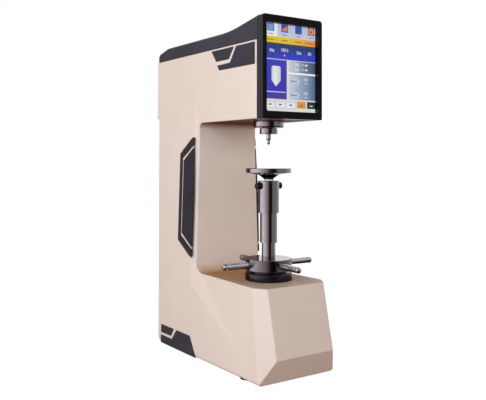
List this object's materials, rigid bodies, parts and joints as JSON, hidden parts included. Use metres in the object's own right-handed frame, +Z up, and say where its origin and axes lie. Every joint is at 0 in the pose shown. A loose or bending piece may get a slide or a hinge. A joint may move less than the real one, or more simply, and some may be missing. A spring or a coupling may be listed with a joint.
{
  "type": "hardness tester",
  "caption": "Bench hardness tester: C-shaped housing with touch screen, diamond indenter, anvil on a telescoping elevating screw and a spoked handwheel.",
  "frame": {"origin": "centre of the footprint box on the bench", "axes": "+X right, +Y to the rear, +Z up; display and indenter face -Y"},
  "size_m": [0.2146, 0.4617, 0.7004],
  "materials": {
    "casting_paint": "satin",
    "cover_plastic": "matte",
    "bezel_plastic": "gloss",
    "panel_plastic": "matte",
    "trim_plastic": "matte",
    "screen_glass": "gloss",
    "electronics": "matte",
    "polished_steel": "polished",
    "dark_steel": "polished",
    "machined_steel": "satin",
    "bronze": "satin",
    "diamond": "polished",
    "aluminium": "satin",
    "black_plastic": "matte",
    "rubber": "matte"
  },
  "bodies": {
    "machine_frame": {"base_trim_lower_left": "trim_plastic", "base_trim_lower_right": "trim_plastic", "base_trim_upper_left": "trim_plastic", "base_trim_upper_right": "trim_plastic", "bearing_flange": "dark_steel", "board_spacers": "machined_steel", "body_casting": "casting_paint", "column_panel_inner_left": "panel_plastic", "column_panel_inner_right": "panel_plastic", "column_panel_outer_left": "panel_plastic", "column_panel_outer_right": "panel_plastic", "control_board": "electronics", "data_port": "machined_steel", "displacement_sensor": "aluminium", "display_bezel": "bezel_plastic", "display_panel": "black_plastic", "drive_belt": "rubber", "guide_bush": "bronze", "guide_rods": "polished_steel", "head_trim_front_left": "trim_plastic", "head_trim_front_right": "trim_plastic", "head_trim_rear_left": "trim_plastic", "head_trim_rear_right": "trim_plastic", "load_motor": "black_plastic", "loading_frame": "machined_steel", "mains_inlet": "black_plastic", "power_supply": "aluminium", "rear_cover": "cover_plastic", "rear_cover_screws": "machined_steel", "rubber_feet": "rubber", "screw_key": "machined_steel", "spindle_collar": "dark_steel", "switch_frame": "black_plastic", "thrust_washer": "bronze", "top_cover": "cover_plastic", "touch_glass": "screen_glass"},
    "lift": {"elevating_screw": "machined_steel", "upper_sleeve": "dark_steel", "anvil": "dark_steel"},
    "middle_sleeve_body": {"middle_sleeve": "dark_steel"},
    "handwheel": {"handwheel_hub": "dark_steel", "handle_rod_1": "polished_steel", "handle_rod_2": "polished_steel", "handle_rod_3": "polished_steel", "handle_rod_4": "polished_steel", "elevating_nut": "bronze", "lower_sleeve": "dark_steel"},
    "left_knob": {"knob_screw_left": "black_plastic"},
    "right_knob": {"knob_screw_right": "black_plastic"},
    "load_train": {"spindle": "dark_steel", "indenter": "machined_steel", "diamond_tip": "diamond", "indenter_clamp_screw": "dark_steel", "load_cell": "aluminium", "carriage": "aluminium", "ball_nut": "machined_steel"},
    "drive_screw": {"ball_screw": "polished_steel", "screw_pulley": "aluminium"},
    "motor_rotor": {"motor_pulley": "aluminium"},
    "rocker": {"power_rocker": "black_plastic"}
  },
  "joints": [
    {"name": "handwheel_turn", "type": "hinge", "parent": "machine_frame", "child": "handwheel", "pos_m": [0, -0.1123, 0.212], "axis": [0, 0, -1], "range_deg": [-3240, 3096]},
    {"name": "anvil_lift", "type": "slide", "parent": "machine_frame", "child": "lift", "axis": [0, 0, 1], "range_m": [-0.0451, 0.0431]},
    {"name": "middle_sleeve_lift", "type": "slide", "parent": "machine_frame", "child": "middle_sleeve_body", "axis": [0, 0, 1], "range_m": [-0.0226, 0.0216]},
    {"name": "left_knob_turn", "type": "hinge", "parent": "lift", "child": "left_knob", "pos_m": [-0.026, -0.1123, 0.3705], "axis": [-1, 0, 0], "range_deg": [0, 360]},
    {"name": "right_knob_turn", "type": "hinge", "parent": "lift", "child": "right_knob", "pos_m": [0.026, -0.1123, 0.3705], "axis": [1, 0, 0], "range_deg": [0, 360]},
    {"name": "drive_screw_turn", "type": "hinge", "parent": "machine_frame", "child": "drive_screw", "pos_m": [0, -0.1123, 0.6553], "axis": [0, 0, 1], "range_deg": [0, 216]},
    {"name": "indenter_stroke", "type": "slide", "parent": "machine_frame", "child": "load_train", "axis": [0, 0, -1], "range_m": [0, 0.003]},
    {"name": "motor_turn", "type": "hinge", "parent": "machine_frame", "child": "motor_rotor", "pos_m": [0, -0.012, 0.6553], "axis": [0, 0, 1], "range_deg": [0, 519]},
    {"name": "power_rocker_tilt", "type": "hinge", "parent": "machine_frame", "child": "rocker", "pos_m": [0.031, 0.20383, 0.07789], "axis": [1, 0, 0], "range_deg": [-10, 10]}
  ],
  "couplings": [
    {"joint": "anvil_lift", "follows": "handwheel_turn", "m_per_rad": 0.00079577},
    {"joint": "middle_sleeve_lift", "follows": "handwheel_turn", "m_per_rad": 0.00039789},
    {"joint": "drive_screw_turn", "follows": "indenter_stroke", "rad_per_m": 1256.6},
    {"joint": "motor_turn", "follows": "indenter_stroke", "rad_per_m": 3015.9}
  ]
}
